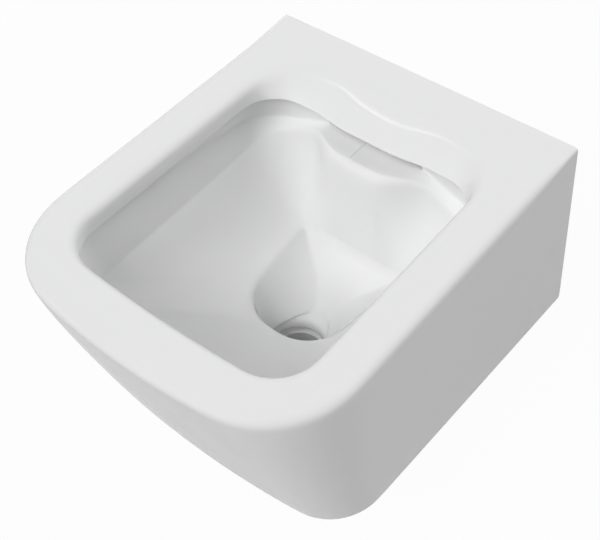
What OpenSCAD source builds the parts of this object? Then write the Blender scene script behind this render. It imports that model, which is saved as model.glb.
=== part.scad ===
// Wall hung toilet pan with its flush distributor, inlet seals and hidden wall fixings.
// The wall is the plane y = 0, the front looks towards -y and z is up.
// The origin lies midway between the two wall studs, on the wall.

/* [Pan outline] */
// Width of the pan at the wall
pan_w = 360; // [350:1:372]
// How far the pan stands out from the wall
pan_l = 432; // [426:1:460]
// Height from the underside to the top of the rim
pan_h = 335; // [333:1:350]
// How much further out each side stands at the front than at the wall
side_flare = 5; // [0:1:8]
// Bulge of the front edge seen from above
front_bow = 22; // [16:1:32]
// Radius of the two front corners seen from above
corner_r = 100; // [86:1:106]
// Rounding of the outer edge of the rim
edge_r = 9; // [5:1:12]
// Wall of the outer shell
shell_t = 10; // [8:1:12]
// Thickness of the flat deck on top
deck_t = 14; // [12:1:16]

/* [Underside] */
// Depth below the rim at which the upright sides turn under
knee_depth = 217; // [205:1:225]
// How far the front has moved back at that depth
knee_setback = 57; // [47:1:67]
// Bulge of the front at that depth
knee_bow = 15; // [10:1:20]
// Radius of the front corners at that depth
knee_corner_r = 58; // [50:1:66]
// Drop over which the side rolls under
knee_roll = 12; // [8:1:16]
// Width of the flat base
base_w = 206; // [200:1:212]
// Length of the flat base from the wall
base_l = 285; // [270:1:295]
// Radius of the front corners of the base
base_corner_r = 60; // [45:1:70]

/* [Bowl] */
// Width of the opening in the rim at its back
opening_w = 264; // [254:1:268]
// How much further out each side of the opening stands at the front than at the back
opening_flare = 5; // [2:1:7]
// Distance of the back of the opening from the wall
opening_back = 45; // [42:1:48]
// Width of the rim at the front
front_rim_w = 56; // [51:1:62]
// Bulge of the back of the opening
opening_back_bow = 24; // [18:1:28]
// Radius of the back corners of the opening
opening_back_r = 52; // [46:1:58]
// Radius of the front corners of the opening
opening_front_r = 44; // [38:1:50]
// Bulge of the front of the opening
opening_front_bow = 6; // [4:1:10]
// Rounding of the inner edge of the rim
lip_roll = 9; // [7:1:10]
// How far the apron over the flush outlet comes forward
apron_reach = 38; // [35:1:41]
// How far the apron drops from the deck
apron_drop = 20; // [18:1:22]
// Bulge of the lower edge of the apron in the middle of the back
apron_bulge = 7; // [4:1:9]
// Depth of the groove under the rim and the apron
undercut = 6.5; // [5:0.5:8]
// Depth of the water ledge below the rim
ledge_depth = 36; // [35:1:38]
// Distance of the back of the water ledge from the wall
ledge_back = 77; // [76:1:79]
// How far the ledge comes forward in the middle of the back
ledge_bulge = 20; // [16:1:22]
// Depth of the edge of the sump
sump_depth = 150; // [145:1:154]
// Width of the sump at its back edge
sump_w = 134; // [126:1:142]
// How much narrower each side of the sump is at the front
sump_narrow = 12; // [8:1:16]
// Distance of the back edge of the sump from the wall
sump_back = 121; // [118:1:124]
// Length of the sump from back to front
sump_l = 131; // [125:1:137]
// Wall of the bowl
bowl_t = 9; // [8:1:10]
// Radius of the back corners of the bowl wall
wall_back_r = 40; // [36:1:44]
// Bow of the back of the bowl wall
wall_bow = 3; // [2:1:5]
// Radius of the back corners of the sump
sump_back_r = 9; // [7:1:12]
// Radius of the front corners of the sump
sump_front_r = 48; // [40:1:50]
// Bulge of the front of the sump
sump_bow = 12; // [8:1:14]

/* [Trap and outlet] */
// Bore of the trap
trap_d = 56; // [52:1:58]
// Wall of the trap
trap_t = 8; // [7:1:9]
// Distance of the trap mouth from the wall
mouth_y = 222; // [219:1:225]
// Depth of the trap mouth below the rim
mouth_depth = 206; // [203:1:209]
// Distance of the lowest bend from the wall
dip_y = 142; // [138:1:146]
// Height of the middle of the lowest bend above the underside
dip_rise = 45; // [44:1:48]
// Outside diameter of the outlet
outlet_od = 102; // [98:1:104]
// Bore of the outlet
outlet_id = 88; // [84:1:88]
// Length of the straight outlet
outlet_l = 48; // [42:1:54]

/* [Wall connections] */
// Distance between the two wall studs
stud_pitch = 180; // [176:1:184]
// Diameter of the studs
stud_d = 12; // [10, 12]
// Height of the rim above the studs
rim_above_stud = 80; // [76:1:84]
// Height of the flush inlet above the studs
inlet_above_stud = 35; // [33:1:37]
// Depth of the outlet below the studs
outlet_below_stud = 100; // [98:1:102]
// Bore of the flush inlet in the pan
inlet_d = 55; // [54:1:56]
// Diameter of the flush pipe that plugs in
flush_pipe_d = 45; // [44:1:46]
// Length of the inlet bore
inlet_l = 30; // [28:1:32]
// Wall of the boss round the inlet
inlet_t = 9; // [8:1:10]

/* [Flush distributor] */
// Width of the chamber behind the apron
chamber_w = 116; // [112:2:120]
// Depth of the chamber floor below the rim
chamber_depth = 72; // [71:1:74]
// Wall of the chamber
chamber_t = 8; // [7:1:9]
// Width of the distributor body
distributor_w = 96; // [90:2:100]
// Wall of the distributor
distributor_t = 3; // [2.5:0.5:4]
// Width of the tongue that lies in the water ledge
tongue_w = 22; // [18:1:26]
// Thickness of the tongue
tongue_t = 3.2; // [2.8:0.2:4]
// Bore of the flow regulator
regulator_bore = 32; // [28:1:34]
// Gap round the distributor and its rings
distributor_gap = 0.4; // [0.3:0.1:0.6]

/* [Wall fixings] */
// Outside diameter of the ceramic boss
boss_d = 46; // [44:1:48]
// Bore in the boss
boss_bore = 27; // [26:1:28]
// Depth of the bore in the boss
boss_bore_l = 72; // [70:1:76]
// Outside diameter of the steel sleeve
sleeve_d = 20; // [19:1:21]
// Length of the steel sleeve
sleeve_l = 64; // [60:1:68]
// Gap between the sleeve and its liner
sleeve_gap = 0.2; // [0.15:0.05:0.3]
// Gap between the liner and the boss
liner_gap = 0.3; // [0.2:0.1:0.5]
// Distance of the lock screw from the wall
screw_y = 44; // [40:1:48]
// Diameter of the lock screw
screw_d = 8; // [8, 10]
// Length of the lock screw
screw_l = 28; // [26:1:32]
// Diameter of the rubber pad against the wall
pad_d = 44; // [40:1:45]
// Thickness of the rubber pad
pad_t = 3; // [2:0.5:4]
// Diameter of the access hole in the base
access_d = 13; // [12:1:13]
// Diameter of the head of the access plug
plug_head_d = 15; // [15:0.5:16]

/* [Hidden] */
$fn = 64;

// Steps round a corner, along an end and along a side of every outline
corner_steps = 6;
end_steps = 6;
side_steps = 4;
// How far a cut runs past the face that it opens, and how far two cuts that meet overlap
cut = 1;
lap = 0.01;

// Heights and places that follow from the driving sizes
rim_z = rim_above_stud;
base_z = rim_z - pan_h;
inlet_z = inlet_above_stud;
outlet_z = -outlet_below_stud;
stud_x = stud_pitch / 2;
knee_l = pan_l - knee_setback;
opening_front = pan_l - front_rim_w;
under_z = rim_z - knee_depth - knee_roll;
base_edge = 4;
rib_t = 10;
// Share of the way in to the base that the roll below the knee takes, and the curve after it
roll_share = 0.06;
under_curve = 1.25;
// How the setback of the front and the radius of its corners change with the depth
setback_curve = 1.15;
corner_curve = 0.6;

apron_y = opening_back + apron_reach;
apron_curve = 0.75;
apron_lip = 2.5;
channel_w = 9.4;
floor_step = 3.2;
edge_y = ledge_back + channel_w;
floor_y = edge_y + floor_step;
edge_inset = 1;
floor_inset = 8;
floor_swell = 4;
floor_bulge = ledge_bulge + floor_swell;
sump_front = sump_back + sump_l;
sump_edge = 4;
sump_front_w = sump_w / 2 - sump_narrow;
floor_curve = 1.5;

// Places round one half of an outline, from the middle of the back to the middle of the front
stations = [
  0, 0.62 * end_steps, end_steps, end_steps + corner_steps / 2, end_steps + corner_steps,
  end_steps + corner_steps + 0.3 * side_steps, end_steps + corner_steps + 0.7 * side_steps,
  end_steps + corner_steps + side_steps, 2 * end_steps + 2 * corner_steps + side_steps
];
// How far the water channel's inner line, its outer line and the top of the floor lie below
// the ledge at those places
crease_fall = [0, 0.2, 13, 15, 8, -1, -7.5, -9, -9];
edge_fall = [0.6, 1, 17, 26, 35, 38.5, 41, 43, 43];
floor_fall = [18, 18, 30, 37, 44.5, 47.5, 50, 52, 52];

trap_r = trap_d / 2;
mouth_z = rim_z - mouth_depth;
dip_z = base_z + dip_rise;
outlet_r = outlet_od / 2;
crown_y = outlet_l + 6;
outlet_taper = 16;
outlet_step = 8;
outlet_bore_l = outlet_l - outlet_step;
// The foot of the sump is nearly as round as the trap
mouth_r = trap_r - 1;
mouth_corner_r = 0.8 * mouth_r;
mouth_bow = 0.6 * mouth_r;
mouth_l = 5;
// The sump's foot runs to a point behind the mouth: its place and its width there
toe_l = 16;
toe_rise = 3;
toe_y = mouth_y - mouth_r - toe_l;
toe_pinch = 0.75;
toe_depth = mouth_depth - toe_rise;
// Radius of the first bend, and pulls of the bends after the lowest point and before the outlet
bend_r = 42;
dip_out_pull = 60;
crown_pull = 60;

inlet_back = 3;
inlet_r = inlet_d / 2;
chamber_y = inlet_back + inlet_l;
roof_depth = deck_t + 2;
roof_fall = 6;
front_roof_depth = roof_depth + roof_fall;
slot_sill = 1;
slot_lip = 2.5;
slot_top = apron_drop + apron_lip + slot_lip;
slot_foot = ledge_depth - slot_sill;
slot_wall = 5;
chamber_front = ledge_back - slot_wall;
block_l = 8;
block_y = floor_y + block_l;
boss_end = floor_y;
tongue_short = 2;
tongue_y = edge_y + ledge_bulge - tongue_short;
tongue_drop = 0.3;
tongue_top = ledge_depth + tongue_drop;
seat_gap = 2;
foot_slope = 14;
socket_wall = 3;
socket_r = inlet_r - socket_wall;
socket_l = 8;
socket_y = chamber_y - socket_l;
socket_bore = socket_r - distributor_t;
socket_lip = 2;
regulator_l = 5;
seal_y = 1;
seal_flange = 6;
seal_end = socket_y - 1;
seal_bite = 0.1;
pipe_gap = 0.1;

flange_t = 2;
boss_y = pad_t + flange_t;
stud_clearance = 0.25;
sleeve_r = sleeve_d / 2;
groove_depth = 2.5;
hex_l = 8;
hex_inset = 0.4;
liner_r = boss_bore / 2 - liner_gap;
liner_flange = 4;
bush_wall = 3;
bush_r = screw_d / 2 + bush_wall;
bush_flange_t = 2;
bush_flange_r = bush_r + 2.5;
bush_gap = 0.8;
seat_z = -boss_d / 2 + 2;
thread_gap = 0.1;
screw_gap = 0.6;
cone_l = 2.4;
cone_r = 1;
tip_gap = 0.2;
socket_hex_r = 0.29 * screw_d;
socket_hex_l = 0.6 * screw_d;
plug_head_t = 1.5;
plug_l = 10;

// The bulge in the middle of the back: flat up to one distance from the middle, gone at the
// other, and faded over this share of the length
bulge_flat = 26;
bulge_end = 76;
bulge_l = 0.3;

function mix(a, b, t) = a + (b - a) * t;

// 0 to 1 without a kink
function ease(t) = let (u = min(max(t, 0), 1)) u * u * (3 - 2 * u);

function swell(x) = 1 - ease((x - bulge_flat) / (bulge_end - bulge_flat));

// Quarter of an outline, from where the side ends, over the corner, to the middle of the end.
// w is the half width, l the reach of the end, r the corner radius and bow the bulge of the end.
// A corner radius of 0 makes a square end.
function quarter(w, l, r, bow) =
  r == 0
  ? [[w, l], [0, l]]
  : let (
      end_r = (w * w + bow * bow) / (2 * bow),
      rise = sqrt(pow(end_r - r, 2) - pow(w - r, 2)),
      turn = atan2(rise, w - r)
    )
    concat(
      [for (i = [0:corner_steps]) let (a = turn * i / corner_steps)
        [w - r + r * cos(a), l - end_r + rise + r * sin(a)]],
      [for (i = [1:end_steps]) let (a = mix(turn, 90, i / end_steps))
        [end_r * cos(a), l - end_r + end_r * sin(a)]]);

// Outline at height z, clockwise from the middle of the back as seen from above.
// back and front are distances from the wall, and flare widens the front of each side.
// pinch narrows the back, bulge brings the middle of the back forward, and fall lowers the
// places listed in stations.
function outline(w, back, front, back_r, front_r, back_bow, front_bow, z, flare = 0,
                 pinch = 0, bulge = 0, fall = [0]) =
  let (
    mid = (back + front) / 2,
    reach = (front - back) / 2,
    b = quarter(w, reach, back_r, back_bow),
    f = quarter(w, reach, front_r, front_bow),
    right = concat(
      [for (i = [len(b) - 1:-1:0]) [b[i][0], mid - b[i][1]]],
      [for (i = [1:side_steps - 1])
        [w, mix(mid - b[0][1], mid + f[0][1], i / side_steps)]],
      [for (p = f) [p[0], mid + p[1]]]
    ),
    m = len(right) - 1,
    low = [for (i = [0:len(fall) - 1]) [stations[i], fall[i]]],
    whole = concat([for (i = [0:m]) [right[i][0], right[i][1], lookup(i, low)]],
      [for (i = [m - 1:-1:1]) [-right[i][0], right[i][1], lookup(i, low)]])
  )
  [for (p = whole) let (along = (p[1] - back) / (front - back))
    [p[0] * (1 + flare / w * along - pinch * (1 - along)),
     -p[1] - bulge * swell(abs(p[0])) * (1 - ease(along / bulge_l)), z - p[2]]];

// Closed skin through a list of outlines, from the top one down, with a fan over each end
module skin(rings) {
  n = len(rings[0]);
  m = len(rings);
  function middle(ring) = [for (c = [0:2]) (min([for (p = ring) p[c]]) + max([for (p = ring) p[c]])) / 2];
  points = concat([for (ring = rings) each ring], [middle(rings[0]), middle(rings[m - 1])]);
  sides = [for (k = [0:m - 2]) for (i = [0:n - 1]) let (j = (i + 1) % n)
    each [[k * n + i, (k + 1) * n + j, k * n + j], [k * n + i, (k + 1) * n + i, (k + 1) * n + j]]];
  ends = [for (i = [0:n - 1]) let (j = (i + 1) % n)
    each [[i, j, m * n], [(m - 1) * n + j, (m - 1) * n + i, m * n + 1]]];
  polyhedron(points = points, faces = concat(sides, ends), convexity = 6);
}

// Tube of radius r[i] round the points path[i] = [distance from the wall, height], at x = 0
module pipe(path, r, sides = 24) {
  n = len(path);
  function along(i) =
    let (d = path[min(i + 1, n - 1)] - path[max(i - 1, 0)])
    d / norm(d);
  skin([for (i = [0:n - 1]) let (t = along(i))
    [for (k = [0:sides - 1]) let (a = 360 * k / sides)
      [r[i] * cos(a), -path[i][0] + r[i] * sin(a) * t[1], path[i][1] + r[i] * sin(a) * t[0]]]]);
}

function bezier(p, t) =
  p[0] * pow(1 - t, 3) + p[1] * 3 * t * pow(1 - t, 2) + p[2] * 3 * t * t * (1 - t) + p[3] * pow(t, 3);

// Cylinder from the wall side at distance y0 to distance y1
module along_y(x, z, y0, y1, r, r_end = undef) {
  translate([x, -y0, z])
    rotate([90, 0, 0])
      cylinder(h = y1 - y0, r1 = r, r2 = is_undef(r_end) ? r : r_end);
}

module ring_y(x, z, y0, y1, r_out, r_in) {
  difference() {
    along_y(x, z, y0, y1, r_out);
    along_y(x, z, y0 - cut, y1 + cut, r_in);
  }
}

// Outline of the upright shell at a depth below the rim, drawn in by t
function shell_ring(t, depth, back = 0) =
  let (s = max(depth, 0) / knee_depth)
  outline(pan_w / 2 - t, back, pan_l - knee_setback * pow(s, setback_curve) - t, 0,
    mix(corner_r, knee_corner_r, pow(s, corner_curve)) - t, 0, mix(front_bow, knee_bow, s),
    rim_z - depth, mix(side_flare, -side_flare, s));

// Outline of the underside, where s runs from 0 at the knee to 1 at the base
function under_ring(t, s, z, back = 0) =
  outline(mix(pan_w, base_w, s) / 2 - t, back, mix(knee_l, base_l, s) - t, 0,
    mix(knee_corner_r, base_corner_r, s) - t, 0, knee_bow, z, mix(-side_flare, 0, s));

// Level of the underside, u of the way from the end of the roll to the height foot
function under_level(t, u, foot, back = 0) =
  under_ring(t, mix(roll_share, 1, u), mix(under_z, foot, pow(u, under_curve)), back);

module pan_outside() {
  skin(concat(
    [for (a = [90:-30:0]) shell_ring(edge_r * (1 - cos(a)), edge_r * (1 - sin(a)))],
    [for (i = [1:4]) shell_ring(0, mix(edge_r, knee_depth, i / 4))],
    [for (i = [0:4]) under_level(0, i / 4, base_z + base_edge)],
    [under_ring(base_edge, 1, base_z)]
  ));
}

module pan_hollow() {
  skin(concat(
    [for (d = [deck_t, knee_depth / 2, knee_depth]) shell_ring(shell_t, d, -cut)],
    [for (i = [0:2]) under_level(shell_t, i / 2, base_z + shell_t, -cut)]
  ));
}

// Levels of the bowl. t is added all round and drop lowers the deeper levels, which gives the
// outside of its wall. grow is how far the rounded lip stands back from the opening.
function apron_ring(t, depth, grow = 0) =
  let (s = pow(max(depth, 0) / apron_drop, apron_curve))
  outline(opening_w / 2 + grow + t, mix(opening_back, apron_y, s) - t,
    opening_front + grow + t, mix(opening_back_r, wall_back_r, s) + grow + t,
    opening_front_r + grow + t, mix(opening_back_bow, wall_bow, s), opening_front_bow,
    rim_z - depth, opening_flare);

// Level of the upright bowl wall, in by inset from the opening
function wall_ring(t, depth, inset, back, bulge, fall = [0]) =
  outline(opening_w / 2 - inset + t, back - t, opening_front - inset + t, wall_back_r + t,
    opening_front_r - inset + t, wall_bow, opening_front_bow, rim_z - depth,
    opening_flare, 0, bulge, fall);

// Level of the floor between the wall and the sump, where u runs inwards from 0 to 1
function floor_ring(t, u, drop = 0) =
  let (
    s = 1 - pow(1 - u, floor_curve),
    top = ledge_depth + drop,
    fall = [for (f = floor_fall) mix(f, sump_depth - ledge_depth, s)]
  )
  outline(mix(opening_w / 2 - floor_inset, sump_front_w, u) + t, mix(floor_y, sump_back, s) - t,
    mix(opening_front - floor_inset, sump_front, u) + t, mix(wall_back_r, sump_back_r, s * s) + t,
    mix(opening_front_r - floor_inset, sump_front_r, u) + t, wall_bow,
    mix(opening_front_bow, sump_bow, u), rim_z - top, mix(opening_flare, 0, u),
    mix(0, -sump_narrow / sump_front_w, u), floor_bulge * (1 - s), fall);

// Level of the sump, where v runs from 0 at its edge to 1 at its foot
function sump_ring(t, v, drop = 0) =
  outline(mix(sump_front_w - sump_edge, mouth_r + 1, v) + t,
    mix(sump_back + sump_edge, toe_y, v) - t, mix(sump_front - sump_edge, mouth_y + mouth_r + 1, v) + t,
    mix(sump_back_r, sump_back_r / 2, v) + t, mix(sump_front_r - sump_edge, mouth_corner_r, v) + t,
    mix(wall_bow, 1, v), mix(sump_bow, mouth_bow, v),
    rim_z - mix(sump_depth + sump_edge, toe_depth, v) - drop, 0,
    mix(-sump_narrow / sump_front_w, toe_pinch, v));

function mouth_ring(t, depth) =
  outline(mouth_r + t, mouth_y - mouth_r - t, mouth_y + mouth_r + t, mouth_corner_r + t,
    mouth_corner_r + t, mouth_bow, mouth_bow, rim_z - depth);

module bowl_space() {
  skin(concat(
    [apron_ring(0, -cut, lip_roll)],
    [for (a = [90:-30:0]) apron_ring(0, lip_roll * (1 - sin(a)), lip_roll * (1 - cos(a)))],
    [apron_ring(0, mix(lip_roll, apron_drop, 0.5))],
    [wall_ring(0, apron_drop, 0, apron_y, apron_bulge)],
    [wall_ring(0, apron_drop + apron_lip, -undercut, ledge_back, 0)],
    [wall_ring(0, ledge_depth, -undercut, ledge_back, 0, crease_fall)],
    [wall_ring(0, ledge_depth, edge_inset, edge_y, ledge_bulge, edge_fall)],
    [for (u = [0, 0.2, 0.4, 0.6, 0.8, 1]) floor_ring(0, u)],
    [for (v = [0, 0.33, 0.66, 1]) sump_ring(0, v)],
    [mouth_ring(0, mouth_depth)],
    [mouth_ring(0, mouth_depth + mouth_l)]
  ));
}

module bowl_outside() {
  skin(concat(
    [apron_ring(bowl_t, cut, lip_roll)],
    [wall_ring(bowl_t, slot_top, -undercut, ledge_back, 0)],
    [wall_ring(bowl_t, ledge_depth, -undercut, ledge_back, 0, crease_fall)],
    [for (u = [0, 0.3, 0.7, 1]) floor_ring(bowl_t, u, bowl_t / 2)],
    [for (v = [0.33, 0.66, 1]) sump_ring(bowl_t, v, bowl_t / 2)]
  ));
}

// Middle line of the trap: down from the sump, round the first bend and up to the outlet
up = [[dip_y, dip_z], [dip_y - dip_out_pull, dip_z], [crown_y + crown_pull, outlet_z], [crown_y, outlet_z]];
trap_path = concat(
  [[mouth_y, mouth_z], [mouth_y, mix(mouth_z, dip_z + bend_r, 0.5)]],
  [for (a = [0:15:90]) [mouth_y - bend_r * (1 - cos(a)), dip_z + bend_r * (1 - sin(a))]],
  [for (i = [0:10]) bezier(up, i / 10)]
);

module trap_pipe(r) {
  pipe(trap_path, [for (p = trap_path) r]);
}

module stud_bosses() {
  for (side = [-1, 1]) {
    along_y(side * stud_x, 0, boss_y, boss_end, boss_d / 2);
    translate([side * stud_x - rib_t / 2, -boss_end, 0])
      cube([rib_t, boss_end - boss_y, rim_z - deck_t / 2]);
    translate([side > 0 ? stud_x : -pan_w / 2 + shell_t / 2, -boss_end, -rib_t / 2])
      cube([pan_w / 2 - stud_x - shell_t / 2, boss_end - boss_y, rib_t]);
  }
}

// Side view of the chamber behind the apron and its slot, as distance from the wall and depth
chamber_profile = [
  [chamber_y, roof_depth], [opening_back, roof_depth], [chamber_front, front_roof_depth],
  [chamber_front, slot_top], [edge_y, slot_top], [edge_y, slot_foot], [chamber_front, slot_foot],
  [chamber_front, chamber_depth], [chamber_y, chamber_depth]
];

// Side view of the distributor inside it, drawn in by t
function distributor_profile(t) =
  let (front = chamber_front - distributor_gap - t)
  [
    [chamber_y + seat_gap + t, roof_depth + seat_gap + t],
    [opening_back - distributor_gap, roof_depth + seat_gap + t],
    [front, front_roof_depth + seat_gap + t],
    [front, chamber_depth - foot_slope],
    [front - foot_slope, chamber_depth - distributor_gap - t],
    [chamber_y + seat_gap + t, chamber_depth - distributor_gap - t]
  ];

// Plate of width w whose side view is the profile
module across(profile, w) {
  rotate([90, 0, -90])
    translate([0, 0, -w / 2])
      linear_extrude(height = w)
        polygon([for (p = profile) [p[0], rim_z - p[1]]]);
}

module chamber_block() {
  w = chamber_w + 2 * chamber_t;
  translate([-w / 2, -block_y, rim_z - chamber_depth - chamber_t])
    cube([w, block_y - chamber_y + chamber_t, chamber_depth + chamber_t - lip_roll / 2]);
  along_y(0, inlet_z, inlet_back, chamber_y, inlet_r + inlet_t);
}

// Everything that is cut for one wall fixing and its access from below
module fixing_cuts(side) {
  along_y(side * stud_x, 0, 0, boss_bore_l, boss_bore / 2);
  translate([side * stud_x, -screw_y, 0]) {
    translate([0, 0, -boss_d / 2])
      cylinder(h = boss_d / 2, r = bush_r + distributor_gap / 2);
    translate([0, 0, -boss_d / 2 - cut])
      cylinder(h = seat_z + boss_d / 2 + cut, r = bush_flange_r + distributor_gap);
    translate([0, 0, base_z - cut])
      cylinder(h = 2 * shell_t, r = access_d / 2);
    translate([0, 0, base_z - cut])
      cylinder(h = cut + plug_head_t, r = plug_head_d / 2 + distributor_gap / 2);
  }
}

module pan() {
  color("white") difference() {
    union() {
      difference() {
        pan_outside();
        pan_hollow();
      }
      intersection() {
        pan_outside();
        union() {
          bowl_outside();
          chamber_block();
          stud_bosses();
          trap_pipe(trap_r + trap_t);
        }
      }
      along_y(0, outlet_z, 0, outlet_l, outlet_r);
      along_y(0, outlet_z, outlet_l, outlet_l + outlet_taper, outlet_r, trap_r + trap_t);
    }
    bowl_space();
    across(chamber_profile, chamber_w);
    tongue(distributor_gap, chamber_front - cut, slot_top);
    trap_pipe(trap_r);
    along_y(0, inlet_z, -cut, chamber_y + cut, inlet_r);
    along_y(0, outlet_z, -cut, outlet_bore_l, outlet_id / 2);
    along_y(0, outlet_z, outlet_bore_l - lap, outlet_bore_l + outlet_taper, outlet_id / 2, trap_r);
    for (side = [-1, 1]) fixing_cuts(side);
  }
}

// The tongue in the water ledge and its bed, grown by t, from a distance and a depth down
module tongue(t, y0, top) {
  w = tongue_w / 2 + t;
  foot = tongue_top + tongue_t + t;
  translate([-w, -tongue_y - t, rim_z - foot])
    cube([2 * w, tongue_y + t - y0, foot - top]);
}

module flush_distributor() {
  window_x = tongue_w / 2 + distributor_t;
  window_w = distributor_w / 2 - distributor_t - window_x;
  window_h = slot_foot - slot_top - 2 * slot_sill;
  window_z = rim_z - slot_foot + slot_sill;
  back_y = chamber_y + seat_gap + distributor_t;
  front_y = chamber_front - distributor_gap - distributor_t;
  color("ghostwhite") difference() {
    union() {
      across(distributor_profile(0), distributor_w);
      along_y(0, inlet_z, socket_y, back_y - 1, socket_r);
      along_y(0, inlet_z, chamber_y - socket_lip, back_y - 1, inlet_r - distributor_gap);
      tongue(0, front_y, tongue_top);
    }
    across(distributor_profile(distributor_t), distributor_w - 2 * distributor_t);
    along_y(0, inlet_z, socket_y - cut, back_y + cut, socket_bore);
    for (side = [-1, 1])
      translate([side * (window_x + window_w / 2) - window_w / 2, -chamber_front, window_z])
        cube([window_w, chamber_front - front_y + cut, window_h]);
  }
}

module distributor_seal() {
  wire = (inlet_r - socket_r - distributor_gap) / 2;
  color("dimgray")
    translate([0, -(chamber_y - socket_lip - wire - distributor_gap / 2), inlet_z])
      rotate([90, 0, 0])
        rotate_extrude()
          translate([(inlet_r + socket_r) / 2, 0])
            circle(r = wire, $fn = 24);
}

// Ring whose bore narrows smoothly to the metered size
module flow_regulator() {
  outer = socket_bore - distributor_gap / 2;
  start = socket_y + 1;
  lead = 2;
  color("lightskyblue") difference() {
    along_y(0, inlet_z, start, start + regulator_l, outer);
    along_y(0, inlet_z, start - lap, start + lead, outer - lead, regulator_bore / 2);
    along_y(0, inlet_z, start - cut, start + regulator_l + cut, regulator_bore / 2);
  }
}

// Rubber collar that seals the flush pipe in the inlet
module inlet_seal() {
  bore = flush_pipe_d / 2 + pipe_gap;
  lead = 2;
  rib = 1.5;
  color("dimgray") difference() {
    union() {
      along_y(0, inlet_z, seal_y, inlet_back, inlet_r + seal_flange);
      along_y(0, inlet_z, seal_y, seal_end, inlet_r - seal_bite - 0.5);
      for (y = [inlet_back + 2 * rib:3 * rib:seal_end - 2 * rib])
        along_y(0, inlet_z, y, y + rib, inlet_r - seal_bite);
    }
    along_y(0, inlet_z, seal_y - cut, seal_end + cut, bore);
    along_y(0, inlet_z, seal_y - lap, seal_y + lead, bore + lead, bore);
  }
}

// Steel sleeve on a stud, with a groove for the lock screw and a hexagon to turn it
module fixing_sleeve(side) {
  r = sleeve_r;
  turned = sleeve_l - hex_l;
  color("silver") translate([side * stud_x, 0, 0])
    difference() {
      union() {
        rotate([90, 0, 0])
          rotate_extrude()
            polygon([
              [0, 0], [r - 1, 0], [r, 1], [r, screw_y - 2 * groove_depth], [r - groove_depth, screw_y - 1],
              [r - groove_depth, screw_y + 1], [r, screw_y + 2 * groove_depth], [r, turned], [0, turned]
            ]);
        translate([0, -turned, 0])
          rotate([90, 0, 0])
            cylinder(h = hex_l, r = r - hex_inset, $fn = 6);
      }
      along_y(0, 0, -cut, sleeve_l + cut, stud_d / 2 + stud_clearance);
    }
}

// Plastic liner between the sleeve and the ceramic, with a flange against the boss
module sleeve_liner(side) {
  color("lightgray") difference() {
    union() {
      along_y(side * stud_x, 0, pad_t, boss_y, liner_r + liner_flange);
      along_y(side * stud_x, 0, pad_t, boss_bore_l - 2 * cut, liner_r);
    }
    along_y(side * stud_x, 0, 0, boss_bore_l, sleeve_r + sleeve_gap);
    translate([side * stud_x, -screw_y, -boss_d / 2])
      cylinder(h = boss_d / 2, r = screw_d / 2 + screw_gap);
  }
}

// Brass bush in the foot of the boss, in which the lock screw turns
module screw_bush(side) {
  color("goldenrod") translate([side * stud_x, -screw_y, 0])
    difference() {
      union() {
        translate([0, 0, seat_z - bush_flange_t])
          cylinder(h = bush_flange_t, r = bush_flange_r);
        translate([0, 0, seat_z - bush_flange_t])
          cylinder(h = -liner_r - bush_gap - seat_z + bush_flange_t, r = bush_r);
      }
      translate([0, 0, -boss_d])
        cylinder(h = boss_d, r = screw_d / 2 + thread_gap);
    }
}

// Socket screw whose cone bears in the groove and draws the pan to the wall
module lock_screw(side) {
  tip_z = -(sleeve_r - groove_depth) - tip_gap;
  color("dimgray") translate([side * stud_x, -screw_y, 0])
    difference() {
      union() {
        translate([0, 0, tip_z - cone_l])
          cylinder(h = cone_l, r1 = screw_d / 2, r2 = cone_r);
        translate([0, 0, tip_z - screw_l])
          cylinder(h = screw_l - cone_l, r = screw_d / 2);
      }
      translate([0, 0, tip_z - screw_l - cut])
        cylinder(h = cut + socket_hex_l, r = socket_hex_r, $fn = 6);
    }
}

// Rubber pad between the boss and the wall
module wall_pad(side) {
  color("gray") ring_y(side * stud_x, 0, 0, pad_t, pad_d / 2, sleeve_r + liner_gap);
}

// Cap in the base below each lock screw
module access_plug(side) {
  color("whitesmoke") translate([side * stud_x, -screw_y, base_z]) {
    cylinder(h = plug_head_t, r = plug_head_d / 2);
    cylinder(h = plug_l, r = access_d / 2 - distributor_gap / 2);
  }
}

pan();
flush_distributor();
distributor_seal();
flow_regulator();
inlet_seal();
fixing_sleeve(-1);  // fixing_sleeve_left
fixing_sleeve(1);  // fixing_sleeve_right
sleeve_liner(-1);  // sleeve_liner_left
sleeve_liner(1);  // sleeve_liner_right
screw_bush(-1);  // screw_bush_left
screw_bush(1);  // screw_bush_right
lock_screw(-1);  // lock_screw_left
lock_screw(1);  // lock_screw_right
wall_pad(-1);  // wall_pad_left
wall_pad(1);  // wall_pad_right
access_plug(-1);  // access_plug_left
access_plug(1);  // access_plug_right
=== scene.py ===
# %% [markdown]
# # A wall hung toilet in white china
# The packed model is the fixed frame: it says where every piece is and how large it is.
# This lesson dresses it. The china is one casting, so it becomes one closed mesh. The inlet collar
# and the two lock screws are made anew, with the lips and threads that the plain solids lack. The
# other fittings keep their exact solids and get finishes that suit what they are made of.

# %% The frame
import math
from collections import namedtuple

import bpy
import bmesh
import numpy as np
from mathutils import Matrix, Vector


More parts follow.
